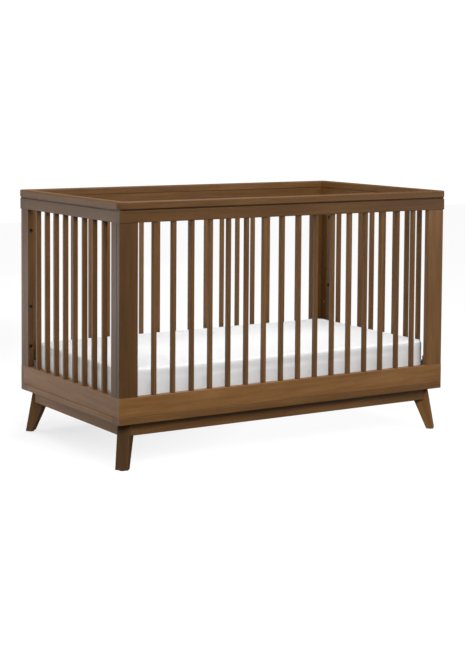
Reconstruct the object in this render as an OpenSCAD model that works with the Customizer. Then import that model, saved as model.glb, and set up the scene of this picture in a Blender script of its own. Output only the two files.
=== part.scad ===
// Slatted wooden baby crib on splayed legs, with a height-adjustable mattress base.
// Millimetres. X runs along the crib, Y across it, Z up. The origin is on the floor,
// under the middle. Pieces are drawn in the +X +Y corner and mirrored to the others.

/* [Body] */
// Length of the crib over its posts
body_l = 1372; // [1200:2:1480]
// Width of the crib over its posts
body_w = 762; // [640:2:820]
// Thickness of the side and end panels
panel_t = 22; // [20:1:26]
// Radius on the long edges of rails and posts
edge_r = 2; // [1:0.5:3]

/* [Heights] */
// Height of the underside of the aprons
apron_z = 112; // [90:1:125]
// Height of the aprons
apron_h = 44; // [36:1:60]
// Thickness of the base boards that the panels stand on
base_h = 23; // [20:1:28]
// Height of the bottom rails
bottom_rail_h = 68; // [60:1:90]
// Length of the posts between the bottom and top rails
post_h = 581; // [540:1:640]
// Height of the top rails
top_rail_h = 40; // [34:1:50]
// Height of the shadow gap under the cap
reveal_h = 4; // [3:1:8]
// Thickness of the top cap
cap_h = 26; // [20:1:34]

/* [Top cap] */
// Width of the cap boards
cap_w = 32; // [28:1:40]
// How far the cap stands out over the posts
cap_proud = 8; // [4:1:10]
// How far the top rails stand out over the posts
rail_proud = 2; // [1:1:4]
// Plan radius of the cap's outer corners
cap_corner_r = 22; // [14:1:26]
// Radius on the cap's long edges
cap_edge_r = 4; // [2:1:6]

/* [Posts and slats] */
// Width of the corner posts on the front and rear panels
side_post_w = 70; // [50:1:90]
// Width of the corner posts on the end panels
end_post_w = 38; // [34:1:50]
// Slats in the front and rear panels, an even number
side_slats = 16; // [14:2:18]
// Slats in each end panel, an even number
end_slats = 8; // [6:2:10]
// Width of a slat
slat_w = 14; // [12:1:18]
// Depth of a slat through the panel
slat_d = 18; // [14:1:18]
// Radius on the slat's edges
slat_r = 3; // [1:0.5:5]
// Depth of the slat's pocket in each rail
slat_seat = 8; // [5:1:12]

/* [Base and legs] */
// How far the aprons are set back from the posts
apron_inset = 27; // [20:1:32]
// Thickness of the aprons
apron_t = 22; // [18:1:26]
// Thickness of a leg, across the diagonal
leg_t = 44; // [34:1:48]
// Width of a leg at the floor, along the diagonal
foot_w = 26; // [20:1:32]
// Width of a leg where it meets the apron's underside
knee_w = 55; // [46:1:60]
// Distance of the foot's outer edge from the body's corner, along the diagonal
foot_s = 24; // [20:1:36]
// How far the legs stand out past the aprons' faces, along the diagonal
leg_proud = 8; // [0:1:12]
// Radius on the legs' sloping edges
leg_edge_r = 2.5; // [1:0.5:4]
// Thickness of the nylon glides under the feet
glide_h = 3; // [2:1:5]

/* [Mattress and its base] */
// Height of the mattress base's top at the lowest setting
deck_z = 187; // [184:1:192]
// Steps that the mattress base can be raised from the lowest setting
height_steps = 2; // [1:1:2]
// Rise of one height step
height_pitch = 142; // [130:1:150]
// Height of the lowest hanger bolts over the deck
hanger_rise = 71; // [68:1:76]
// Length of the mattress
mattress_l = 1304; // [1100:2:1304]
// Width of the mattress
mattress_w = 692; // [560:2:692]
// Thickness of the mattress in its sheet
mattress_h = 151; // [100:1:152]
// Plan radius of the mattress corners
mattress_r = 45; // [20:1:70]
// Thickness of the fitted sheet
sheet_t = 2; // [1:0.5:3]

/* [Hidden] */
$fn = 48;
walnut = [0.42, 0.28, 0.19];
dark_walnut = [0.33, 0.21, 0.14];
beech = [0.80, 0.66, 0.48];
steel = [0.72, 0.72, 0.74];
black = [0.12, 0.12, 0.12];
nylon = [0.16, 0.15, 0.15];
white = [0.96, 0.96, 0.95];
foam = [0.92, 0.92, 0.90];

half_l = body_l / 2;
half_w = body_w / 2;
in_l = half_l - panel_t;                 // inner face of the end panels
in_w = half_w - panel_t;                 // inner face of the front and rear panels
panel_mid_l = half_l - panel_t / 2;
panel_mid_w = half_w - panel_t / 2;

base_z = apron_z + apron_h;              // underside of the base boards
rail_z = base_z + base_h;                // underside of the bottom rails
post_z = rail_z + bottom_rail_h;         // foot of the posts
top_z = post_z + post_h;                 // underside of the top rails
reveal_z = top_z + top_rail_h;           // shadow gap
cap_z = reveal_z + reveal_h;             // underside of the cap
tongue_root = edge_r + 1;                // how deep the tongue's root stands in the rail
cap_out_l = half_l + cap_proud;
cap_out_w = half_w + cap_proud;

side_bay = body_l - 2 * side_post_w;     // clear length between posts
side_pitch = (side_bay + slat_w) / (side_slats + 1);
end_post_in = in_w - end_post_w;         // inner edge of an end post
end_bay = 2 * end_post_in;
end_pitch = (end_bay + slat_w) / (end_slats + 1);
fit = 0.2;                               // clearance round seated wood and fasteners

base_w = apron_inset + apron_t + 1;      // width of the base boards
apron_out_l = half_l - apron_inset;
apron_out_w = half_w - apron_inset;
leg_half = leg_t / 2;
leg_top_s = apron_inset * sqrt(2) + leg_half - leg_proud;
leg_slope = (leg_top_s - foot_s) / base_z;
knee_s = foot_s + leg_slope * apron_z + knee_w;  // leg's inner edge behind the apron
leg_out_lean = atan((leg_top_s - foot_s) / (base_z - glide_h));
leg_in_lean = atan((knee_s - foot_s - foot_w) / (apron_z - glide_h));
brace_t = 22;
brace_corner = (apron_inset + apron_t) * sqrt(2);

bolt_levels = [323, 470, 750];           // heights of the panel bolts
bolt_recess_d = 14;                      // recess that sinks the heads of the panel bolts
bolt_recess = 13;
bolt_d = 6;
insert_d = 10;
insert_l = 13;
dowel_d = 8;
dowel_l = 50;
screw_d = 4;
cap_screw_x = [for (n = [-1 : 1]) n * 4 * side_pitch, -(side_slats / 2) * side_pitch,
    (side_slats / 2) * side_pitch];
cap_screw_y = [-3 * end_pitch, 0, 3 * end_pitch];
base_screw_x = [-8, -3, 3, 8];           // in slat pitches, so they fall between slats
apron_screw_x = [-500, -170, 170, 500];
apron_screw_y = [-180, 180];

hanger_y = in_w - end_post_w / 2;        // hanger bolts stand in the middle of the end posts
hanger_z = deck_z + hanger_rise;
plate_t = 2.5;                           // steel of the mattress base
plate_out = in_l - 1.5;                  // outer face of the hanger brackets
plate_in = plate_out - plate_t;          // outer face of the end angles
angle_w = 30;
angle_lip = 16;
lip_y = in_w - 7;                        // outer face of the side angles
side_angle_l = plate_in - 6;             // side angles stop short of the hanger bolts
end_angle_l = hanger_y - 12;
flange_t = 2;
wire_d = 4;
cross_wires_n = 13;
long_wires_y = [-240, -120, 0, 120, 240];
cross_wire_z = deck_z - flange_t - wire_d / 2;
long_wire_x = half_l - base_w - 6;

// ---- helpers ----

// Mirrors to the left (x) and to the front (y) where the flag is true
module flip(x, y) mirror([x ? 1 : 0, 0, 0]) mirror([0, y ? 1 : 0, 0]) children();

// Draws its children in all four corners
module corners() for (x = [false, true], y = [false, true]) flip(x, y) children();

// A rectangle with rounded corners, from its low corner
module rounded_rect(size, r) {
    translate([r, 0]) square([size.x - 2 * r, size.y]);
    translate([0, r]) square([size.x, size.y - 2 * r]);
    for (x = [r, size.x - r], y = [r, size.y - r]) translate([x, y]) circle(r);
}

// A board between two corners with its edges along X, Y or Z rounded
module board_x(low, high, r = edge_r) {
    size = high - low;
    translate(low) rotate([90, 0, 90]) linear_extrude(size.x) rounded_rect([size.y, size.z], r);
}
module board_y(low, high, r = edge_r) {
    size = high - low;
    translate([low.x, high.y, low.z]) rotate([90, 0, 0]) linear_extrude(size.y)
        rounded_rect([size.x, size.z], r);
}
module board_z(low, high, r = edge_r) {
    size = high - low;
    translate(low) linear_extrude(size.z) rounded_rect([size.x, size.y], r);
}

// A cylinder from a point along +X, +Y or +Z
module rod_x(d, length) rotate([0, 90, 0]) cylinder(d = d, h = length);
module rod_y(d, length) rotate([-90, 0, 0]) cylinder(d = d, h = length);
module rod_z(d, length) cylinder(d = d, h = length);

// Moves along a leg's diagonal: children lie along +X, from the body's corner inwards
module diagonal() translate([half_l, half_w, 0]) rotate([0, 0, 225]) children();

// ---- slats and the rails that hold them ----

module slat_section(grow) {
    w = slat_w + grow;
    d = slat_d + grow;
    translate([-w / 2, -d / 2]) rounded_rect([w, d], slat_r);
}
module side_slat_places() for (n = [0 : side_slats - 1])
    translate([(n - (side_slats - 1) / 2) * side_pitch, panel_mid_w, 0]) children();
module end_slat_places() for (n = [0 : end_slats - 1])
    translate([panel_mid_l, (n - (end_slats - 1) / 2) * end_pitch, 0]) rotate([0, 0, 90]) children();

module slat() translate([0, 0, post_z - slat_seat + fit])
    linear_extrude(post_h + 2 * slat_seat - 2 * fit) slat_section(0);
module pocket(z) translate([0, 0, z]) linear_extrude(2 * slat_seat) slat_section(2 * fit);

module side_slats() color(walnut) side_slat_places() slat();
module end_slats() color(walnut) end_slat_places() slat();

module dowel_places_side() for (x = [half_l - side_post_w / 2 - 18, half_l - side_post_w / 2 + 15])
    corners_x() translate([x, panel_mid_w, 0]) children();
module dowel_places_end() for (y = [hanger_y - 11, hanger_y + 11])
    corners_y() translate([panel_mid_l, y, 0]) children();
module corners_x() for (x = [false, true]) flip(x, false) children();
module corners_y() for (y = [false, true]) flip(false, y) children();
module dowel_hole(z) translate([0, 0, z - dowel_l / 2]) rod_z(dowel_d + fit, dowel_l);

// Screw from below: head in a recess, shank up through the piece
module cap_screw_hole() translate([0, 0, top_z - 1]) {
    rod_z(8.6, 9);
    rod_z(screw_d + 2 * fit, top_rail_h + reveal_h + 15);
}
module base_screw_hole() translate([0, 0, base_z - 1]) {
    rod_z(10.6, 9);
    rod_z(5 + 2 * fit, base_h + 43);
}
module apron_screw_hole() translate([0, 0, rail_z + 1]) mirror([0, 0, 1]) {
    rod_z(8.6, 6);
    rod_z(screw_d + 2 * fit, base_h + 24);
}

// The top rails carry a tongue, flush with the posts, that holds the cap off them
module side_top_rail() color(walnut) difference() {
    union() {
        board_x([-half_l - rail_proud, in_w, top_z], [half_l + rail_proud, half_w + rail_proud, reveal_z]);
        translate([-half_l, in_w, reveal_z - tongue_root]) cube([body_l, panel_t, reveal_h + tongue_root]);
    }
    side_slat_places() pocket(top_z - slat_seat);
    dowel_places_side() dowel_hole(top_z);
    for (x = cap_screw_x) translate([x, panel_mid_w, 0]) cap_screw_hole();
}
module end_top_rail() color(walnut) difference() {
    union() {
        board_y([in_l, -in_w, top_z], [half_l + rail_proud, in_w, reveal_z]);
        translate([in_l, -in_w, reveal_z - tongue_root]) cube([panel_t, 2 * in_w, reveal_h + tongue_root]);
    }
    end_slat_places() pocket(top_z - slat_seat);
    dowel_places_end() dowel_hole(top_z);
    for (y = cap_screw_y) translate([panel_mid_l, y, 0]) cap_screw_hole();
}
module side_bottom_rail() color(walnut) difference() {
    board_x([-half_l, in_w, rail_z], [half_l, half_w, post_z]);
    side_slat_places() pocket(post_z - slat_seat);
    dowel_places_side() dowel_hole(post_z);
    for (n = base_screw_x) translate([n * side_pitch, panel_mid_w, 0]) base_screw_hole();
}
module end_bottom_rail() color(walnut) difference() {
    board_y([in_l, -in_w, rail_z], [half_l, in_w, post_z]);
    end_slat_places() pocket(post_z - slat_seat);
    dowel_places_end() dowel_hole(post_z);
    for (y = [-3, 3] * end_pitch) translate([panel_mid_l, y, 0]) base_screw_hole();
}

// ---- posts ----

module side_post() color(walnut) difference() {
    board_z([half_l - side_post_w, in_w, post_z], [half_l, half_w, top_z]);
    for (z = bolt_levels) translate([panel_mid_l, in_w - 1, z]) rod_y(insert_d + fit, insert_l + 1 + fit);
    dowel_places_side() { dowel_hole(post_z); dowel_hole(top_z); }
}
module end_post() color(walnut) difference() {
    board_z([in_l, end_post_in, post_z], [half_l, in_w, top_z]);
    for (z = bolt_levels) translate([panel_mid_l, end_post_in - 1, z]) {
        rod_y(bolt_recess_d, bolt_recess + 1);
        rod_y(bolt_d + 3 * fit, end_post_w + 2);
    }
    for (n = [0 : height_steps])
        translate([in_l - 1, hanger_y, hanger_z + n * height_pitch])
            rod_x(insert_d + fit, insert_l + 1 + fit);
    dowel_places_end() { dowel_hole(post_z); dowel_hole(top_z); }
}

// ---- top cap ----

// Section of a cap board: across it from the centre of the corner's round, then up
module cap_section() translate([cap_corner_r - cap_w, cap_z]) rounded_rect([cap_w, cap_h], cap_edge_r);
// A board of the cap along X, mitred at its ends, with its share of each round corner
module cap_board(run, reach, screws) difference() {
    bend_x = run - cap_corner_r;
    bend_y = reach - cap_corner_r;
    union() {
        difference() {
            translate([-bend_x, bend_y, 0]) rotate([90, 0, 90]) linear_extrude(2 * bend_x) cap_section();
            corners_x() translate([bend_x, bend_y, 0]) rotate([0, 0, -135])
                translate([0, 0, cap_z - 1]) cube([2 * cap_w, cap_w, cap_h + 2]);
        }
        corners_x() translate([bend_x, bend_y, 0]) rotate([0, 0, 45])
            rotate_extrude(angle = 45) intersection() {
                cap_section();
                translate([0, cap_z - 1]) square([cap_corner_r, cap_h + 2]);
            }
    }
    for (x = screws) translate([x, reach - cap_proud - panel_t / 2, 0]) cap_screw_hole();
}
module side_cap() color(walnut) cap_board(cap_out_l, cap_out_w, cap_screw_x);
module end_cap() color(walnut) rotate([0, 0, -90]) cap_board(cap_out_w, cap_out_l, cap_screw_y);

// ---- base boards, aprons, legs ----

module side_base_board() color(walnut) difference() {
    board_x([-half_l, half_w - base_w, base_z], [half_l, half_w, rail_z]);
    for (n = base_screw_x) translate([n * side_pitch, panel_mid_w, 0]) base_screw_hole();
    for (x = apron_screw_x) translate([x, apron_out_w - apron_t / 2, 0]) apron_screw_hole();
}
module end_base_board() color(walnut) difference() {
    board_y([half_l - base_w, base_w - half_w, base_z], [half_l, half_w - base_w, rail_z]);
    for (y = [-3, 3] * end_pitch) translate([panel_mid_l, y, 0]) base_screw_hole();
    for (y = apron_screw_y) translate([apron_out_l - apron_t / 2, y, 0]) apron_screw_hole();
}

// An apron along X, its ends cut at 45 degrees to fit the sides of the legs
module apron_board(run, reach, screws) difference() {
    near = run - (leg_half * sqrt(2) + apron_inset);
    far = near - apron_t;
    intersection() {
        board_x([-near - 1, reach - apron_t, apron_z], [near + 1, reach, base_z]);
        translate([0, 0, apron_z - 1]) linear_extrude(apron_h + 2) polygon([
            [-near - 1, reach + 1], [near + 1, reach + 1],
            [far - 1, reach - apron_t - 1], [1 - far, reach - apron_t - 1]]);
    }
    for (x = screws) translate([x, reach - apron_t / 2, 0]) apron_screw_hole();
}
module side_apron() color(dark_walnut) apron_board(half_l, apron_out_w, apron_screw_x);
module end_apron() color(dark_walnut) rotate([0, 0, -90])
    apron_board(half_w, apron_out_l, apron_screw_y);

// What comes off to round an edge: the edge is the Z axis, with the wood on its +X +Y side
module edge_round(r, length) translate([0, 0, -length]) linear_extrude(2 * length) difference() {
    translate([-2, -2]) square(2 + r);
    translate([r, r]) circle(r);
}
// A leg is a tapered board standing on the corner's diagonal
module leg() color(dark_walnut) diagonal() difference() {
    rotate([90, 0, 0]) translate([0, 0, -leg_half]) linear_extrude(leg_t) polygon([
        [foot_s, glide_h], [foot_s + foot_w, glide_h], [knee_s, apron_z],
        [knee_s, base_z], [leg_top_s, base_z]]);
    translate([knee_s + 1, 0, base_z - apron_h / 2]) rotate([0, 180, 0]) rod_x(12 + fit, 26 + fit);
    corners_y() translate([foot_s, leg_half, glide_h]) rotate([0, leg_out_lean, 0])
        mirror([0, 1, 0]) edge_round(leg_edge_r, 2 * base_z);
    corners_y() translate([foot_s + foot_w, leg_half, glide_h]) rotate([0, leg_in_lean, 0])
        mirror([0, 1, 0]) mirror([1, 0, 0]) edge_round(leg_edge_r, 2 * base_z);
}
module corner_brace() diagonal() difference() {
    reach_a = knee_s - brace_corner;
    reach_b = reach_a + brace_t;
    translate([0, 0, apron_z]) linear_extrude(apron_h) polygon([
        [knee_s, -reach_a], [knee_s, reach_a], [knee_s + brace_t, reach_b], [knee_s + brace_t, -reach_b]]);
    translate([knee_s - 1, 0, base_z - apron_h / 2]) rod_x(8.4, brace_t + 2);
}
module corner_braces() color(beech) corners() corner_brace();
module foot_glides() color(nylon) corners() diagonal()
    translate([foot_s + foot_w / 2 + 0.5, 0, 0]) rod_z(foot_w - 4, glide_h);

// ---- fasteners of the crib ----

// A socket-head bolt whose head starts at the origin and whose shank runs along +X
module bolt(d, length, head_d, head_h) difference() {
    union() {
        rod_x(head_d, head_h);
        rod_x(d, head_h + length);
    }
    translate([-1, 0, 0]) rotate([0, 90, 0]) cylinder(d = d * 0.8, h = head_h * 0.6 + 1, $fn = 6);
}
// A threaded insert from the origin along +X
module insert(d, bore, length) difference() {
    rod_x(d, length);
    translate([-1, 0, 0]) rod_x(bore, length + 2);
}
module panel_bolts() color(black) corners() for (z = bolt_levels)
    translate([panel_mid_l, end_post_in + bolt_recess - 6, z]) rotate([0, 0, 90])
        bolt(bolt_d, end_post_w - bolt_recess + insert_l - 1, 12, 6);
module panel_bolt_inserts() color(steel) corners() for (z = bolt_levels)
    translate([panel_mid_l, in_w, z]) rotate([0, 0, 90]) insert(insert_d, bolt_d + fit, insert_l);
module post_dowels() color(beech) for (z = [post_z, top_z]) {
    corners_y() dowel_places_side() dowel(z);
    corners_x() dowel_places_end() dowel(z);
}
module dowel(z) translate([0, 0, z - dowel_l / 2 + 0.5]) rod_z(dowel_d, dowel_l - 1);

// A wood screw: head at the origin, shank along +Z
module screw(d, head_d, head_h, length) {
    rod_z(head_d, head_h);
    rod_z(d, length);
}
module cap_screw() translate([0, 0, top_z + 4]) screw(screw_d, 8, 3.5, top_rail_h + reveal_h + 8);
module cap_screws() color(steel) {
    corners_y() for (x = cap_screw_x) translate([x, panel_mid_w, 0]) cap_screw();
    corners_x() for (y = cap_screw_y) translate([panel_mid_l, y, 0]) cap_screw();
}
module base_screw() translate([0, 0, base_z + 3]) screw(5, 10, 4.5, base_h + 37);
module base_screws() color(steel) {
    corners_y() for (n = base_screw_x) translate([n * side_pitch, panel_mid_w, 0]) base_screw();
    corners_x() for (y = [-3, 3] * end_pitch) translate([panel_mid_l, y, 0]) base_screw();
}
module apron_screw() translate([0, 0, rail_z - 1]) mirror([0, 0, 1]) screw(screw_d, 8, 3.5, base_h + 20);
module apron_screws() color(steel) {
    corners_y() for (x = apron_screw_x) translate([x, apron_out_w - apron_t / 2, 0]) apron_screw();
    corners_x() for (y = apron_screw_y) translate([apron_out_l - apron_t / 2, y, 0]) apron_screw();
}
module leg_bolts() color(steel) corners() diagonal()
    translate([knee_s + brace_t + 5.5, 0, base_z - apron_h / 2]) rotate([0, 0, 180])
        bolt(8, brace_t + 22, 13, 5.5);
module leg_inserts() color(steel) corners() diagonal()
    translate([knee_s, 0, base_z - apron_h / 2]) rotate([0, 0, 180]) insert(12, 8 + fit, 25);
module hanger_inserts() color(steel) corners() for (n = [0 : height_steps])
    translate([in_l, hanger_y, hanger_z + n * height_pitch]) insert(insert_d, bolt_d + fit, insert_l);
module hanger_bolts() color(black) corners()
    translate([plate_in - 4, hanger_y, hanger_z]) bolt(bolt_d, in_l - plate_in + insert_l - 1, 12, 3.5);

// ---- mattress base ----

module side_angle() color(steel) {
    translate([-side_angle_l, lip_y - angle_w, deck_z - flange_t])
        cube([2 * side_angle_l, angle_w, flange_t]);
    translate([-side_angle_l, lip_y - plate_t, deck_z - flange_t])
        cube([2 * side_angle_l, plate_t, angle_lip]);
}
module end_angle() color(steel) difference() {
    union() {
        translate([plate_in - angle_w, angle_w - lip_y, deck_z - flange_t])
            cube([angle_w, 2 * (lip_y - angle_w), flange_t]);
        translate([plate_in - plate_t, -end_angle_l, deck_z - flange_t])
            cube([plate_t, 2 * end_angle_l, angle_lip]);
    }
    corners_y() rivet_places() translate([plate_in - plate_t - 1, 0, 0]) rod_x(5 + fit, plate_t + 2);
}
module rivet_places() for (y = [end_angle_l - 18, end_angle_l - 7])
    translate([0, y, deck_z + 7]) children();
// Plates under the corners that join the side angles to the end angles
module deck_gussets() color(steel) corners() translate([0, 0, deck_z - flange_t - plate_t])
    linear_extrude(plate_t) polygon([
        [plate_in - 75, lip_y - 18], [plate_in - 75, lip_y - 2], [side_angle_l, lip_y - 2],
        [side_angle_l, lip_y - angle_w], [plate_in - 2, lip_y - angle_w],
        [plate_in - 2, lip_y - 80], [plate_in - 18, lip_y - 80]]);
// A hanger: a strap up beside the bolt and an arm with a slot that drops over it
module hanger_bracket() difference() {
    translate([plate_in, 0, 0]) rotate([90, 0, 90]) linear_extrude(plate_t) difference() {
        polygon([
            [end_angle_l - 26, deck_z], [end_angle_l, deck_z], [end_angle_l, hanger_z - 12],
            [hanger_y + 12, hanger_z - 12], [hanger_y + 12, hanger_z + 11],
            [end_angle_l - 26, hanger_z + 11]]);
        translate([hanger_y, hanger_z]) circle(d = bolt_d + 3 * fit);
        translate([hanger_y - bolt_d / 2 - 1.5 * fit, hanger_z - 20]) square([bolt_d + 3 * fit, 20]);
    }
    rivet_places() translate([plate_in - 1, 0, 0]) rod_x(5 + fit, plate_t + 2);
}
module hanger_brackets() color(steel) corners() hanger_bracket();
module hanger_rivets() color(steel) corners() rivet_places() {
    translate([plate_in - plate_t - 1.2, 0, 0]) rod_x(9, 1.2);
    translate([plate_in - plate_t - 1, 0, 0]) rod_x(5, 2 * plate_t + 1.5);
    translate([plate_out, 0, 0]) rod_x(8, 0.8);
}
module deck_cross_wires() color(steel) for (n = [0 : cross_wires_n - 1])
    translate([(n - (cross_wires_n - 1) / 2) * 2 * (plate_in - 80) / (cross_wires_n - 1),
        -lip_y + plate_t + 2, cross_wire_z]) rod_y(wire_d, 2 * (lip_y - plate_t - 2));
module deck_long_wires() color(steel) for (y = long_wires_y)
    translate([-long_wire_x, y, cross_wire_z - wire_d]) rod_x(wire_d, 2 * long_wire_x);

// ---- mattress ----

module pad(l, w, r, z, h) translate([-l / 2, -w / 2, z]) linear_extrude(h) rounded_rect([l, w], r);
module mattress() color(foam) pad(mattress_l - 2 * sheet_t, mattress_w - 2 * sheet_t,
    mattress_r - sheet_t, deck_z, mattress_h - sheet_t);
module fitted_sheet() color(white) difference() {
    pad(mattress_l, mattress_w, mattress_r, deck_z, mattress_h);
    pad(mattress_l - 2 * sheet_t, mattress_w - 2 * sheet_t, mattress_r - sheet_t, deck_z - 1,
        mattress_h - sheet_t + 1);
}

// ---- nodes ----

flip(false, true) side_cap();  // front_top_cap
side_cap();  // rear_top_cap
flip(true, false) end_cap();  // left_top_cap
end_cap();  // right_top_cap
flip(false, true) side_top_rail();  // front_top_rail
side_top_rail();  // rear_top_rail
flip(true, false) end_top_rail();  // left_top_rail
end_top_rail();  // right_top_rail
flip(false, true) side_bottom_rail();  // front_bottom_rail
side_bottom_rail();  // rear_bottom_rail
flip(true, false) end_bottom_rail();  // left_bottom_rail
end_bottom_rail();  // right_bottom_rail
flip(true, true) side_post();  // front_left_post
flip(false, true) side_post();  // front_right_post
flip(true, false) side_post();  // rear_left_post
side_post();  // rear_right_post
flip(true, true) end_post();  // left_end_front_post
flip(true, false) end_post();  // left_end_rear_post
flip(false, true) end_post();  // right_end_front_post
end_post();  // right_end_rear_post
flip(false, true) side_slats();  // front_slats
side_slats();  // rear_slats
flip(true, false) end_slats();  // left_end_slats
end_slats();  // right_end_slats
flip(false, true) side_base_board();  // front_base_board
side_base_board();  // rear_base_board
flip(true, false) end_base_board();  // left_base_board
end_base_board();  // right_base_board
flip(false, true) side_apron();  // front_apron
side_apron();  // rear_apron
flip(true, false) end_apron();  // left_apron
end_apron();  // right_apron
flip(true, true) leg();  // front_left_leg
flip(false, true) leg();  // front_right_leg
flip(true, false) leg();  // rear_left_leg
leg();  // rear_right_leg
corner_braces();
foot_glides();
panel_bolts();
panel_bolt_inserts();
post_dowels();
cap_screws();
base_screws();
apron_screws();
leg_bolts();
leg_inserts();
hanger_inserts();
hanger_bolts();
flip(false, true) side_angle();  // deck_front_angle
side_angle();  // deck_rear_angle
flip(true, false) end_angle();  // deck_left_angle
end_angle();  // deck_right_angle
deck_gussets();
hanger_brackets();
hanger_rivets();
deck_cross_wires();
deck_long_wires();
mattress();
fitted_sheet();
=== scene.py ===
"""Looks of a slatted, walnut-stained baby crib: its timber, metalwork, bedding and studio.

Every length is in metres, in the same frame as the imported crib: X along it, Y across it, Z up.
"""

import logging
import math
import random
from collections.abc import Sequence
from dataclasses import dataclass, field
from enum import Enum

import bmesh
import bpy
import numpy as np
from mathutils import Matrix, Vector, noise


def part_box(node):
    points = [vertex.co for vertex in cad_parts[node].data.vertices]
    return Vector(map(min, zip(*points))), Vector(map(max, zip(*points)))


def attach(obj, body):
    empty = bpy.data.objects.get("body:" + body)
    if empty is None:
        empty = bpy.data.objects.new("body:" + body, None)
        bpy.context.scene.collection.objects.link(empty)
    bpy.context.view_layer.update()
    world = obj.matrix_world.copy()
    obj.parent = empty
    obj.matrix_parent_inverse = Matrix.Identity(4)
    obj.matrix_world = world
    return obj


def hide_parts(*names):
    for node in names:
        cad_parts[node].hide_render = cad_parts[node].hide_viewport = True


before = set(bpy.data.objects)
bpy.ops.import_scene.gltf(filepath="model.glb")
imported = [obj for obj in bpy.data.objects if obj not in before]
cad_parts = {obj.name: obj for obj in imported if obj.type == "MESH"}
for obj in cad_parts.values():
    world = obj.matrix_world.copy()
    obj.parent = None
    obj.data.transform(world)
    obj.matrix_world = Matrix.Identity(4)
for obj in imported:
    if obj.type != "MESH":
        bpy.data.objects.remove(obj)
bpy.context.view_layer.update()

LOG = logging.getLogger("crib")
UP = Vector((0.0, 0.0, 1.0))
ALONG = (1.0, 0.0, 0.0)
ACROSS = (0.0, 1.0, 0.0)
UPRIGHT = (0.0, 0.0, 1.0)

Socket = bpy.types.NodeSocket
Value = Socket | float | Sequence[float]
Colour = tuple[float, float, float]
Range = tuple[float, float]


class Slot(Enum):
    """The slots of the crib's record that the bedding's finishes stand for; nothing in this script uses
    them.
    """

    TICKING = "mattress_foam"
    COTTON = "cotton_sheet"


class Body(Enum):
    """The moving body that new pieces ride on."""

    BEDDING = "bedding"


# ---------------------------------------------------------------- shader building


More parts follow.
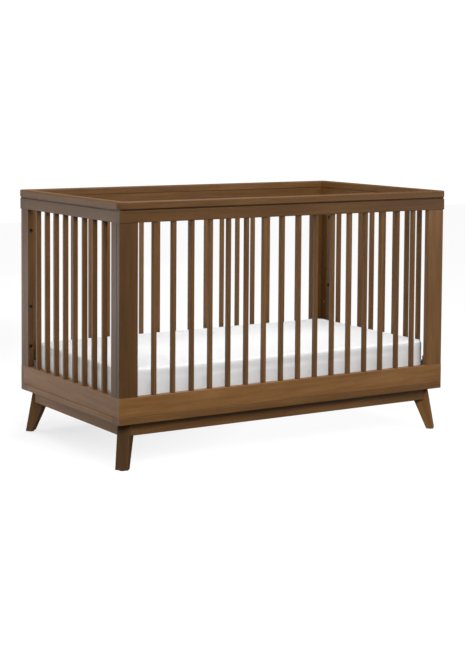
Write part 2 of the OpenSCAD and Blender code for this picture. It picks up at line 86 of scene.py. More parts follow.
class Shader:
    """A material's node tree, with short calls for adding and joining its nodes."""

    def __init__(self, name: str) -> None:
        """Starts a material that holds one Principled shader.

        Args:
            name: the material's name.
        """
        self.material = bpy.data.materials.new(name)
        self.material.use_nodes = True
        self.tree = self.material.node_tree
        self.tree.nodes.clear()
        self.skin = self.tree.nodes.new("ShaderNodeBsdfPrincipled")
        out = self.tree.nodes.new("ShaderNodeOutputMaterial")
        self.tree.links.new(self.skin.outputs["BSDF"], out.inputs["Surface"])

    def feed(self, socket: Socket, value: Value) -> None:
        """Joins a socket to another one, or sets its constant.

        Args:
            socket: the input to fill.
            value: an output socket, a number, or a vector or colour.
        """
        if isinstance(value, bpy.types.NodeSocket):
            self.tree.links.new(value, socket)
        elif isinstance(value, (int, float)):
            socket.default_value = float(value)
        else:
            numbers = list(value)
            wanted = len(socket.default_value)
            socket.default_value = numbers + [1.0] * (wanted - len(numbers))

    def place(self) -> Socket:
        """Returns the point on the object, in its own metres."""
        return self.tree.nodes.new("ShaderNodeTexCoord").outputs["Object"]

    def mapped(
        self,
        point: Value,
        turn: Sequence[float] = (0.0, 0.0, 0.0),
        stretch: Sequence[float] = (1.0, 1.0, 1.0),
        shift: Sequence[float] = (0.0, 0.0, 0.0),
    ) -> Socket:
        """Stretches, then turns, then shifts a point.

        Args:
            point: the point's socket.
            turn: rotation in radians.
            stretch: scale on each axis.
            shift: offset on each axis.

        Returns:
            The moved point's socket.
        """
        node = self.tree.nodes.new("ShaderNodeMapping")
        self.feed(node.inputs["Vector"], point)
        self.feed(node.inputs["Rotation"], turn)
        self.feed(node.inputs["Scale"], stretch)
        self.feed(node.inputs["Location"], shift)
        return node.outputs["Vector"]

    def noise(self, point: Value, scale: float, detail: float = 2.0, rough: float = 0.5) -> Socket:
        """Returns a noise value from 0 to 1 at a point.

        Args:
            point: the point's socket.
            scale: features per metre.
            detail: octaves of finer noise.
            rough: strength of the finer octaves.
        """
        node = self.tree.nodes.new("ShaderNodeTexNoise")
        self.feed(node.inputs["Vector"], point)
        self.feed(node.inputs["Scale"], scale)
        self.feed(node.inputs["Detail"], detail)
        self.feed(node.inputs["Roughness"], rough)
        return node.outputs["Fac"]

    def noise_vector(self, point: Value, scale: float, detail: float = 1.0) -> Socket:
        """Returns three noise values from 0 to 1 at a point.

        Args:
            point: the point's socket.
            scale: features per metre.
            detail: octaves of finer noise.
        """
        node = self.tree.nodes.new("ShaderNodeTexNoise")
        self.feed(node.inputs["Vector"], point)
        self.feed(node.inputs["Scale"], scale)
        self.feed(node.inputs["Detail"], detail)
        return node.outputs["Color"]

    def calc(self, operation: str, first: Value, second: Value = 0.0, third: Value = 0.0) -> Socket:
        """Returns the result of a Math node.

        Args:
            operation: the Math node's operation.
            first: the first operand.
            second: the second operand, where there is one.
            third: the third operand, where there is one.
        """
        node = self.tree.nodes.new("ShaderNodeMath")
        node.operation = operation
        for socket, value in zip(node.inputs, (first, second, third)):
            self.feed(socket, value)
        return node.outputs[0]

    def vector(self, operation: str, first: Value, second: Value = (0.0, 0.0, 0.0)) -> Socket:
        """Returns the vector result of a Vector Math node.

        Args:
            operation: the node's operation.
            first: the first vector.
            second: the second vector, or the factor where the operation is SCALE.
        """
        node = self.tree.nodes.new("ShaderNodeVectorMath")
        node.operation = operation
        self.feed(node.inputs[0], first)
        self.feed(node.inputs["Scale" if operation == "SCALE" else 1], second)
        return node.outputs["Vector"]

    def length(self, point: Value) -> Socket:
        """Returns the length of a vector."""
        node = self.tree.nodes.new("ShaderNodeVectorMath")
        node.operation = "LENGTH"
        self.feed(node.inputs[0], point)
        return node.outputs["Value"]

    def part(self, point: Value, axis: int) -> Socket:
        """Returns one coordinate of a vector, by its axis number."""
        node = self.tree.nodes.new("ShaderNodeSeparateXYZ")
        self.feed(node.inputs[0], point)
        return node.outputs[axis]

    def blend(self, amount: Value, first: Value, second: Value, how: str = "MIX") -> Socket:
        """Returns the mix of two colours.

        Args:
            amount: share of the second colour.
            first: the first colour.
            second: the second colour.
            how: the mix's blend type.
        """
        node = self.tree.nodes.new("ShaderNodeMix")
        node.data_type = "RGBA"
        node.blend_type = how
        self.feed(node.inputs[0], amount)
        self.feed(node.inputs[6], first)
        self.feed(node.inputs[7], second)
        return node.outputs[2]

    def ramp(self, amount: Value, stops: Sequence[tuple[float, Colour]]) -> Socket:
        """Returns a colour picked from stops along 0 to 1.

        Args:
            amount: the place along the ramp.
            stops: the places and colours.
        """
        node = self.tree.nodes.new("ShaderNodeValToRGB")
        band = node.color_ramp
        while len(band.elements) < len(stops):
            band.elements.new(0.5)
        for element, (place, colour) in zip(band.elements, stops):
            element.position = place
            element.color = (*colour, 1.0)
        self.feed(node.inputs[0], amount)
        return node.outputs["Color"]

    def remap(self, value: Value, low: float, high: float, out_low: float, out_high: float) -> Socket:
        """Returns a value rescaled from one clamped range to another.

        Args:
            value: the value's socket.
            low: start of the source range.
            high: end of the source range.
            out_low: what the start becomes.
            out_high: what the end becomes.
        """
        node = self.tree.nodes.new("ShaderNodeMapRange")
        for socket, number in zip(node.inputs, (value, low, high, out_low, out_high)):
            self.feed(socket, number)
        return node.outputs["Result"]

    def relief(self, height: Value, depth: float, strength: float = 1.0) -> None:
        """Gives the shader a bump.

        Args:
            height: the height's socket, from 0 to 1.
            depth: metres that a height of 1 stands for.
            strength: share of the bump that is used.
        """
        node = self.tree.nodes.new("ShaderNodeBump")
        self.feed(node.inputs["Height"], height)
        self.feed(node.inputs["Distance"], depth)
        self.feed(node.inputs["Strength"], strength)
        self.tree.links.new(node.outputs["Normal"], self.skin.inputs["Normal"])


# ---------------------------------------------------------------- finishes


@dataclass(frozen=True)
class TimberTone:
    """The colours of a timber finish, from its pores to its palest grain."""

    pore: Colour
    dark: Colour
    middle: Colour
    pale: Colour

    def stained(self, strength: float) -> "TimberTone":
        """Returns this tone made darker or paler for one board, where darker is also deeper; the change
        is partly the board's own wood and partly painted shade and painted sheen.

        Args:
            strength: brightness of the board, where 1 is this tone.
        """
        red, green, blue = strength, strength ** 1.08, strength ** 1.35
        return TimberTone(*(
            (colour[0] * red, colour[1] * green, colour[2] * blue)
            for colour in (self.pore, self.dark, self.middle, self.pale)
        ))


WALNUT_TONE = TimberTone(
    pore=(0.034, 0.013, 0.003),
    dark=(0.080, 0.033, 0.007),
    middle=(0.135, 0.060, 0.015),
    pale=(0.200, 0.098, 0.032),
)
BEECH_TONE = TimberTone(
    pore=(0.30, 0.17, 0.08),
    dark=(0.42, 0.26, 0.13),
    middle=(0.52, 0.34, 0.19),
    pale=(0.60, 0.42, 0.25),
)


class BoardBrightness(Enum):
    """Brightness grades of the walnut boards against the plain grade: partly the wood's own tone, partly
    painted sheen and shade.
    """

    DEEP = 0.60
    DARK = 0.70
    DUSKY = 0.84
    PLAIN = 1.00
    WARM = 1.08
    PALE = 1.48


# The boards that aren't of the plain grade, by grade. The grades are partly each board's own wood tone
# and partly painted light: the pale grade also paints the sheen on the left end's lower boards and the
# front right leg, and the darker grades also paint shade.
WOOD_TONE_AND_PAINTED_LIGHT = {
    BoardBrightness.DEEP: ("front_left_post", "right_end_rear_post", "front_left_leg"),
    BoardBrightness.DARK: ("front_top_rail", "rear_right_post", "left_end_front_post", "left_end_rear_post"),
    BoardBrightness.DUSKY: ("front_top_cap", "rear_top_cap", "rear_top_rail", "left_top_rail"),
    BoardBrightness.WARM: ("front_right_post", "front_base_board", "front_apron"),
    BoardBrightness.PALE: (
        "front_bottom_rail", "left_bottom_rail", "left_base_board", "left_apron", "front_right_leg",
    ),
}


def tone_of(board: str) -> TimberTone:
    """Returns the walnut tone of a board, by the board's name, with the painted sheen and shade of its
    grade in it.
    """
    stock = next((grade for grade, boards in WOOD_TONE_AND_PAINTED_LIGHT.items() if board in boards), BoardBrightness.PLAIN)
    return WALNUT_TONE.stained(stock.value)


@dataclass(frozen=True)
class Figure:
    """One layer of a timber's figure: noise that is drawn out along the grain."""

    scale: float
    stretch: float
    detail: float
    rough: float
    weight: float

    def read(self, shader: Shader, log: Socket) -> Socket:
        """Returns the layer's noise, from 0 to 1.

        Args:
            shader: the material's shader.
            log: the point in the log, whose Z runs along the grain.
        """
        drawn = shader.mapped(log, stretch=(1.0, 1.0, self.stretch))
        return shader.noise(drawn, self.scale, self.detail, self.rough)


STREAK = Figure(scale=105.0, stretch=0.045, detail=3.0, rough=0.6, weight=0.62)
BAND = Figure(scale=26.0, stretch=0.10, detail=2.0, rough=0.5, weight=0.42)
CLOUD = Figure(scale=11.0, stretch=0.35, detail=2.0, rough=0.5, weight=0.45)
FIBRE = Figure(scale=1150.0, stretch=0.012, detail=2.0, rough=0.6, weight=0.24)
PORES = Figure(scale=1700.0, stretch=0.03, detail=1.0, rough=0.5, weight=0.55)
PORE_EDGE: Range = (0.62, 0.72)


@dataclass(frozen=True)
class Timber:
    """A board's finish: growth rings cut from a log, soft bands, fine fibres and pores."""

    tone: TimberTone
    grain: tuple[float, float, float]
    roughness: float = 0.50
    ring_width: float = 0.0036
    pith_distance: float = 0.075
    lean_degrees: float = 1.6
    wander: float = 0.020
    late_wood: float = 0.07
    shade_spread: float = 0.03
    stick_spread: float = 0.09
    stick_pitch: float = 0.0
    stick_axis: int = 0
    stick_shift: float = 0.0
    relief_depth: float = 0.00010

    def coat(self, name: str, centre: Vector, draw: random.Random) -> bpy.types.Material:
        """Makes the material of one board, or of a row of sticks.

        Args:
            name: the material's name.
            centre: the middle of the board.
            draw: the source of the board's own figure and shade.

        Returns:
            The material.
        """
        shader = Shader(name)
        spot = shader.place()
        log = self.in_log(shader, spot, centre, draw)
        shade = draw.uniform(-self.shade_spread, self.shade_spread)
        tint: Value = shade
        if self.stick_pitch:
            log, tint = self.by_stick(shader, spot, log, shade, draw)
        bent = self.bend(shader, log)
        year = shader.calc("FRACT", self.rings(shader, bent))
        late = shader.calc("POWER", year, 2.2)
        fibre = FIBRE.read(shader, bent)
        pore = shader.remap(PORES.read(shader, bent), *PORE_EDGE, 0.0, 1.0)

        amount: Value = shader.calc("ADD", tint, 0.5)
        for figure, weight in (
            (STREAK.read(shader, bent), STREAK.weight), (BAND.read(shader, bent), BAND.weight),
            (CLOUD.read(shader, log), CLOUD.weight), (fibre, FIBRE.weight),
        ):
            swing = shader.calc("SUBTRACT", figure, 0.5)
            amount = shader.calc("MULTIPLY_ADD", swing, weight, amount)
        amount = shader.calc("MULTIPLY_ADD", shader.calc("SUBTRACT", late, 0.3), -self.late_wood, amount)
        tone = self.tone
        stain = shader.ramp(amount, [(0.12, tone.dark), (0.5, tone.middle), (0.92, tone.pale)])
        colour = shader.blend(shader.calc("MULTIPLY", pore, PORES.weight), stain, tone.pore)
        shader.feed(shader.skin.inputs["Base Color"], colour)
        self.lacquer(shader, fibre, pore, late)
        return shader.material

    def in_log(self, shader: Shader, spot: Socket, centre: Vector, draw: random.Random) -> Socket:
        """Places the board in a log of its own.

        Args:
            shader: the material's shader.
            spot: the point on the board.
            centre: the middle of the board.
            draw: the source of the board's own place in the log.

        Returns:
            The point in the log, whose pith is the Z axis.
        """
        lean = self.lean_degrees
        turn = Vector(self.grain).normalized().rotation_difference(UP).to_matrix()
        tilt = Matrix.Rotation(math.radians(draw.uniform(-lean, lean)), 3, "X")
        tilt = tilt @ Matrix.Rotation(math.radians(draw.uniform(-lean, lean)), 3, "Y")
        spin = tilt @ turn
        angle = draw.uniform(0.0, math.tau)
        reach = self.pith_distance * draw.uniform(0.7, 1.4)
        pith = Vector((reach * math.cos(angle), reach * math.sin(angle), draw.uniform(-2.0, 2.0)))
        return shader.mapped(spot, turn=spin.to_euler(), shift=pith - spin @ centre)

    def by_stick(
        self, shader: Shader, spot: Socket, log: Socket, shade: float, draw: random.Random
    ) -> tuple[Socket, Socket]:
        """Gives every stick of a row a place in the log and a shade of its own.

        Args:
            shader: the material's shader.
            spot: the point on the row.
            log: the point in the log.
            shade: the row's own shade.
            draw: the source of the row's own order of sticks.

        Returns:
            The point in the log and the shade.
        """
        place = shader.part(spot, self.stick_axis)
        count = shader.calc("MULTIPLY_ADD", place, 1.0 / self.stick_pitch, self.stick_shift)
        index = shader.calc("FLOOR", count)
        chance = shader.tree.nodes.new("ShaderNodeTexWhiteNoise")
        chance.noise_dimensions = "1D"
        shader.feed(chance.inputs["W"], shader.calc("ADD", index, draw.uniform(3.0, 90.0)))
        jump = shader.vector("MULTIPLY", chance.outputs["Color"], (0.07, 0.07, 3.0))
        low, high = shade - self.stick_spread, shade + self.stick_spread
        tint = shader.remap(chance.outputs["Value"], 0.0, 1.0, low, high)
        return shader.vector("ADD", log, jump), tint

    def bend(self, shader: Shader, log: Socket) -> Socket:
        """Returns the point in the log, moved so that the grain wanders along the board.

        Args:
            shader: the material's shader.
            log: the point in the straight log.
        """
        slow = shader.mapped(log, stretch=(1.0, 1.0, 0.10))
        sway = shader.vector("SUBTRACT", shader.noise_vector(slow, 9.0, 2.0), (0.5, 0.5, 0.5))
        return shader.vector("ADD", log, shader.vector("MULTIPLY", sway, (self.wander, self.wander, 0.0)))

    def rings(self, shader: Shader, log: Socket) -> Socket:
        """Returns the number of growth rings between the pith and a point.

        Args:
            shader: the material's shader.
            log: the point in the log.
        """
        flat = shader.vector("MULTIPLY", log, (1.0, 1.0, 0.0))
        return shader.calc("DIVIDE", shader.length(flat), self.ring_width)

    def lacquer(self, shader: Shader, fibre: Socket, pore: Socket, late: Socket) -> None:
        """Gives the timber its satin gloss and the relief of its grain.

        Args:
            shader: the material's shader.
            fibre: the fibres' noise.
            pore: 1 in a pore, and 0 outside it.
            late: the share of late wood.
        """
        gloss = shader.calc("MULTIPLY_ADD", fibre, 0.10, self.roughness - 0.05)
        shader.feed(shader.skin.inputs["Roughness"], shader.calc("MULTIPLY_ADD", pore, 0.12, gloss))
        height = shader.calc("MULTIPLY_ADD", fibre, 0.5, shader.calc("MULTIPLY", late, 0.35))
        height = shader.calc("SUBTRACT", height, shader.calc("MULTIPLY", pore, 0.9))
        shader.relief(height, self.relief_depth, 0.55)
        shader.skin.inputs["IOR"].default_value = 1.5
        shader.skin.inputs["Specular IOR Level"].default_value = 0.32


@dataclass(frozen=True)
class Metal:
    """A metal or powder-coated finish with a fine grain."""

    dark: Colour
    pale: Colour
    metallic: float
    roughness: float
    grain_scale: float = 900.0
    grain_depth: float = 0.00003
    smoother: float = 0.06
    rougher: float = 0.08

    def coat(self, name: str) -> bpy.types.Material:
        """Makes the material.

        Args:
            name: the material's name.

        Returns:
            The material.
        """
        shader = Shader(name)
        spot = shader.place()
        cloud = shader.noise(spot, 60.0, 3.0)
        grit = shader.noise(spot, self.grain_scale, 2.0, 0.6)
        mixed = shader.calc("MULTIPLY_ADD", grit, 0.4, shader.calc("MULTIPLY", cloud, 0.6))
        colour = shader.ramp(mixed, [(0.3, self.dark), (0.7, self.pale)])
        shader.feed(shader.skin.inputs["Base Color"], colour)
        low, high = self.roughness - self.smoother, self.roughness + self.rougher
        shader.feed(shader.skin.inputs["Roughness"], shader.remap(cloud, 0.25, 0.75, low, high))
        shader.skin.inputs["Metallic"].default_value = self.metallic
        shader.relief(grit, self.grain_depth)
        return shader.material


@dataclass(frozen=True)
class Moulded:
    """Moulded matt plastic with a fine spark-eroded texture."""

    dark: Colour = (0.012, 0.011, 0.010)
    pale: Colour = (0.028, 0.026, 0.024)
    roughness: Range = (0.48, 0.66)
    grain_scale: float = 1800.0
    grain_depth: float = 0.00006

    def coat(self, name: str) -> bpy.types.Material:
        """Makes the material.

        Args:
            name: the material's name.

        Returns:
            The material.
        """
        shader = Shader(name)
        grit = shader.noise(shader.place(), self.grain_scale, 2.0)
        colour = shader.ramp(grit, [(0.3, self.dark), (0.7, self.pale)])
        shader.feed(shader.skin.inputs["Base Color"], colour)
        shader.feed(shader.skin.inputs["Roughness"], shader.remap(grit, 0.2, 0.8, *self.roughness))
        shader.relief(grit, self.grain_depth)
        return shader.material


@dataclass(frozen=True)
class Woven:
    """A plain-woven cloth: warp and weft threads, slubs and a little fuzz."""

    dark: Colour
    pale: Colour
    thread: float
    depth: float
    roughness: Range = (0.86, 0.96)
    sheen: float = 0.25
    stripe: float = 0.0
    stripe_colour: Colour = (0.6, 0.65, 0.7)

    def coat(self, name: str) -> bpy.types.Material:
        """Makes the material.

        Args:
            name: the material's name.

        Returns:
            The material.
        """
        shader = Shader(name)
        spot = shader.place()
        per_metre = math.pi / self.thread
        threads = []
        for axis in range(3):
            wave = shader.calc("MULTIPLY", shader.part(spot, axis), per_metre)
            threads.append(shader.calc("ABSOLUTE", shader.calc("SINE", wave)))
        weave = shader.calc("MULTIPLY", shader.calc("MULTIPLY", threads[0], threads[1]), threads[2])
        weave = shader.calc("POWER", weave, 0.6)
        slub = shader.noise(spot, 420.0, 3.0, 0.6)
        cloud = shader.noise(spot, 14.0, 2.0)
        amount = shader.calc("MULTIPLY_ADD", slub, 0.45, shader.calc("MULTIPLY", cloud, 0.35))
        amount = shader.calc("MULTIPLY_ADD", weave, 0.2, amount)
        colour = shader.ramp(amount, [(0.25, self.dark), (0.75, self.pale)])
        if self.stripe:
            across = shader.calc("MULTIPLY", shader.part(spot, 1), 1.0 / self.stripe)
            line = shader.calc("PINGPONG", across, 0.5)
            colour = shader.blend(shader.remap(line, 0.05, 0.09, 0.45, 0.0), colour, self.stripe_colour)
        shader.feed(shader.skin.inputs["Base Color"], colour)
        shader.feed(shader.skin.inputs["Roughness"], shader.remap(slub, 0.2, 0.8, *self.roughness))
        shader.skin.inputs["Sheen Weight"].default_value = self.sheen
        shader.skin.inputs["Sheen Roughness"].default_value = 0.45
        shader.skin.inputs["Specular IOR Level"].default_value = 0.3
        height = shader.calc("MULTIPLY_ADD", slub, 0.6, shader.calc("MULTIPLY", weave, 0.8))
        shader.relief(height, self.depth, 0.8)
        return shader.material


ZINC = Metal(dark=(0.42, 0.43, 0.45), pale=(0.62, 0.62, 0.63), metallic=1.0, roughness=0.34)
# Black oxide is a real bolt finish; its near-black also paints the shade inside the bolt holes.
BLACK_OXIDE_AND_SHADE = Metal(dark=(0.010, 0.010, 0.010), pale=(0.022, 0.021, 0.020), metallic=0.0, roughness=0.5)
POWDER_COAT = Metal(
    dark=(0.19, 0.195, 0.20), pale=(0.24, 0.245, 0.25), metallic=0.0, roughness=0.42,
    grain_scale=1500.0, grain_depth=0.00008,
)
GLIDE_NYLON = Moulded()
PERCALE = Woven(dark=(0.80, 0.81, 0.825), pale=(0.86, 0.865, 0.87), thread=0.00045, depth=0.00012)
TICKING = Woven(
    dark=(0.70, 0.70, 0.68), pale=(0.80, 0.80, 0.78), thread=0.0009, depth=0.0003, stripe=0.024
)


# ---------------------------------------------------------------- timber and metal of the frame


def dress(node: str, material: bpy.types.Material) -> None:
    """Gives a carried-over piece its finish.

    Args:
        node: the piece's name.
        material: its material.
    """
    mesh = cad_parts[node].data
    mesh.materials.clear()
    mesh.materials.append(material)
    LOG.info("dressed %s in %s", node, material.name)


def middle_of(node: str) -> Vector:
    """Returns the middle of a carried-over piece's box."""
    low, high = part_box(node)
    return (low + high) / 2


@dataclass
class Boards:
    """Boards whose grain runs the same way."""

    names: tuple[str, ...]
    grain: tuple[float, float, float]
    roughness: float = 0.46
    seed: int = 1

    def dress(self) -> None:
        """Gives every board a cut of timber of its own."""
        for number, name in enumerate(self.names):
            draw = random.Random(1000 * self.seed + number)
            timber = Timber(tone_of(name), self.grain, self.roughness)
            dress(name, timber.coat(f"{name}_timber", middle_of(name), draw))


@dataclass
class Sticks:
    """Rows of slats, each slat a stick of its own."""

    names: tuple[str, ...]
    axis: int
    count: int
    width: float = 0.014
    seed: int = 40

    def dress(self) -> None:
        """Gives each row timber whose figure and shade change from stick to stick."""
        for number, name in enumerate(self.names):
            low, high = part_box(name)
            span = high[self.axis] - low[self.axis]
            pitch = (span - self.width) / (self.count - 1)
            timber = Timber(
                WALNUT_TONE, UPRIGHT, pith_distance=0.05,
                stick_pitch=pitch, stick_axis=self.axis, stick_shift=self.count / 2,
            )
            draw = random.Random(1000 * self.seed + number)
            dress(name, timber.coat(f"{name}_timber", middle_of(name), draw))


@dataclass
class Legs:
    """The four splayed legs, whose grain follows their lean."""

    names: tuple[str, ...] = ("front_left_leg", "front_right_leg", "rear_left_leg", "rear_right_leg")
    slope: float = 0.25
    seed: int = 60

    def dress(self) -> None:
        """Gives each leg timber that runs from its foot to its knee."""
        for number, name in enumerate(self.names):
            middle = middle_of(name)
            inward = Vector((-math.copysign(1.0, middle.x), -math.copysign(1.0, middle.y), 0.0))
            lean = inward.normalized() * self.slope + UP
            timber = Timber(tone_of(name), tuple(lean))
            draw = random.Random(1000 * self.seed + number)
            dress(name, timber.coat(f"{name}_timber", middle, draw))


@dataclass
class Joinery:
    """Dowels and braces of raw beech inside the joints."""

    def dress(self) -> None:
        """Gives the dowels and braces their timber."""
        draw = random.Random(80)
        dowels = Timber(BEECH_TONE, UPRIGHT, roughness=0.6, ring_width=0.002)
        dress("post_dowels", dowels.coat("dowel_beech", middle_of("post_dowels"), draw))
        braces = Timber(BEECH_TONE, UPRIGHT, roughness=0.62)
        dress("corner_braces", braces.coat("brace_beech", Vector((0.6, 0.3, 0.13)), draw))


@dataclass
class Metalwork:
    """The fasteners, the mattress base and the glides under the feet."""

    zinced: tuple[str, ...] = (
        "panel_bolt_inserts", "cap_screws", "base_screws", "apron_screws",
        "leg_bolts", "leg_inserts", "hanger_inserts",
    )
    # These bolts' near-black is partly their black oxide and partly painted shade in their holes.
    blackened_and_shaded: tuple[str, ...] = ("panel_bolts", "hanger_bolts")
    coated: tuple[str, ...] = (
        "deck_front_angle", "deck_rear_angle", "deck_left_angle", "deck_right_angle",
        "deck_gussets", "hanger_brackets", "hanger_rivets", "deck_cross_wires", "deck_long_wires",
    )

    def dress(self) -> None:
        """Gives the steel and nylon pieces their finishes."""
        zinc = ZINC.coat("zinc_plate")
        black = BLACK_OXIDE_AND_SHADE.coat("black_oxide_and_hole_shade")
        grey = POWDER_COAT.coat("grey_powder_coat")
        for names, finish in ((self.zinced, zinc), (self.blackened_and_shaded, black), (self.coated, grey)):
            for name in names:
                dress(name, finish)
        dress("foot_glides", GLIDE_NYLON.coat("glide_nylon"))


# ---------------------------------------------------------------- bedding


def new_object(name: str, mesh: bpy.types.Mesh) -> bpy.types.Object:
    """Links a new object to the scene.

    Args:
        name: the object's name.
        mesh: its mesh.

    Returns:
        The object.
    """
    made = bpy.data.objects.new(name, mesh)
    bpy.context.scene.collection.objects.link(made)
    return made


def applied(item: bpy.types.Object) -> None:
    """Puts the result of an object's modifiers in its mesh, and removes them.

    Args:
        item: the object.
    """
    graph = bpy.context.evaluated_depsgraph_get()
    made = bpy.data.meshes.new_from_object(item.evaluated_get(graph), depsgraph=graph)
    old = item.data
    item.modifiers.clear()
    item.data = made
    bpy.data.meshes.remove(old)


def points_of(mesh: bpy.types.Mesh) -> np.ndarray:
    """Returns a mesh's vertices as rows of three numbers."""
    flat = np.empty(3 * len(mesh.vertices))
    mesh.vertices.foreach_get("co", flat)
    return flat.reshape(-1, 3)


def set_points(mesh: bpy.types.Mesh, points: np.ndarray) -> None:
    """Moves a mesh's vertices.

    Args:
        mesh: the mesh.
        points: the new places, one row a vertex.
    """
    mesh.vertices.foreach_set("co", points.ravel())
    mesh.update()


def ease(value: np.ndarray, start: float, end: float) -> np.ndarray:
    """Returns a smooth step from 0 at start to 1 at end.

    Args:
        value: where the step is read.
        start: where it leaves 0.
        end: where it reaches 1.
    """
    step = np.clip((value - start) / (end - start), 0.0, 1.0)
    return step * step * (3.0 - 2.0 * step)


@dataclass
class Pad:
    """The foam mattress in its ticking, firm and slightly crowned."""

    voxel: float = 0.0070
    corner_radius: float = 0.043
    edge_round: float = 0.010
    shrink: float = 0.0035
    underside_gap: float = 0.0016
    swell_cap: float = 0.0014
    pressure: float = 4.0
    stretch_stiffness: float = 25.0
    bending_stiffness: float = 2.0
    frames: int = 16
    fill: float = 0.9
    piece: bpy.types.Object = field(init=False)

    def build(self) -> bpy.types.Object:
        """Makes the pad and lets it swell.

        Returns:
            The pad's object.
        """
        low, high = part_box("mattress")
        low = low + Vector((self.shrink, self.shrink, self.underside_gap))
        high = high - Vector((self.shrink, self.shrink, self.shrink))
        self.piece = new_object("mattress_pad", self.block(low, high))
        self.swell(low.z)
        for face in self.piece.data.polygons:
            face.use_smooth = True
        self.piece.data.materials.append(TICKING.coat("mattress_ticking"))
        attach(self.piece, Body.BEDDING.value)
        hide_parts("mattress")
        LOG.info("built mattress_pad, %d vertices", len(self.piece.data.vertices))
        return self.piece

    def block(self, low: Vector, high: Vector) -> bpy.types.Mesh:
        """Makes a block with round corners and edges out of even quads.

        Args:
            low: lowest corner.
            high: highest corner.

        Returns:
            The mesh.
        """
        shape = bmesh.new()
        bmesh.ops.create_cube(shape, size=1.0)
        size = high - low
        bmesh.ops.scale(shape, vec=size, verts=shape.verts)
        bmesh.ops.translate(shape, vec=(low + high) / 2, verts=shape.verts)
        uprights = [edge for edge in shape.edges if self.climb(edge) > 0.01]
        bmesh.ops.bevel(
            shape, geom=uprights, offset=self.corner_radius, segments=10, profile=0.5, affect="EDGES"
        )
        rims = [
            edge for edge in shape.edges
            if self.climb(edge) < 1e-6 and len({round(face.normal.z, 3) for face in edge.link_faces}) > 1
        ]
        bmesh.ops.bevel(
            shape, geom=rims, offset=self.edge_round, segments=6, profile=0.5, affect="EDGES"
        )
        mesh = bpy.data.meshes.new("mattress_pad")
        shape.to_mesh(mesh)
        shape.free()
        holder = new_object("pad_blank", mesh)
        remesh = holder.modifiers.new("even", "REMESH")
        remesh.mode = "VOXEL"
        remesh.voxel_size = self.voxel
        applied(holder)
        made = holder.data
        bpy.data.objects.remove(holder)
        return made

    @staticmethod
    def climb(edge: bmesh.types.BMEdge) -> float:
        """Returns the difference in height between an edge's ends."""
        return abs(edge.verts[0].co.z - edge.verts[1].co.z)

    def swell(self, floor_z: float) -> None:
        """Blows the pad up a little inside a cap, and keeps its underside flat.

        Args:
            floor_z: height of the underside.
        """
        rest = points_of(self.piece.data).copy()
        cloth = self.piece.modifiers.new("swell", "CLOTH")
        cloth.settings.use_pressure = True
        cloth.settings.uniform_pressure_force = self.pressure
        cloth.settings.effector_weights.gravity = 0.0
        cloth.settings.tension_stiffness = self.stretch_stiffness
        cloth.settings.compression_stiffness = self.stretch_stiffness
        cloth.settings.bending_stiffness = self.bending_stiffness
        cloth.settings.quality = 4
        scene = bpy.context.scene
        for number in range(1, self.frames + 1):
            scene.frame_set(number)
        graph = bpy.context.evaluated_depsgraph_get()
        moved = points_of(self.piece.evaluated_get(graph).data) - rest
        self.piece.modifiers.clear()
        scene.frame_set(1)
        far = np.linalg.norm(moved, axis=1, keepdims=True)
        moved *= np.minimum(1.0, self.swell_cap / np.maximum(far, 1e-9))
        made = rest + moved
        made[:, 2] = np.maximum(made[:, 2], floor_z)
        set_points(self.piece.data, made)


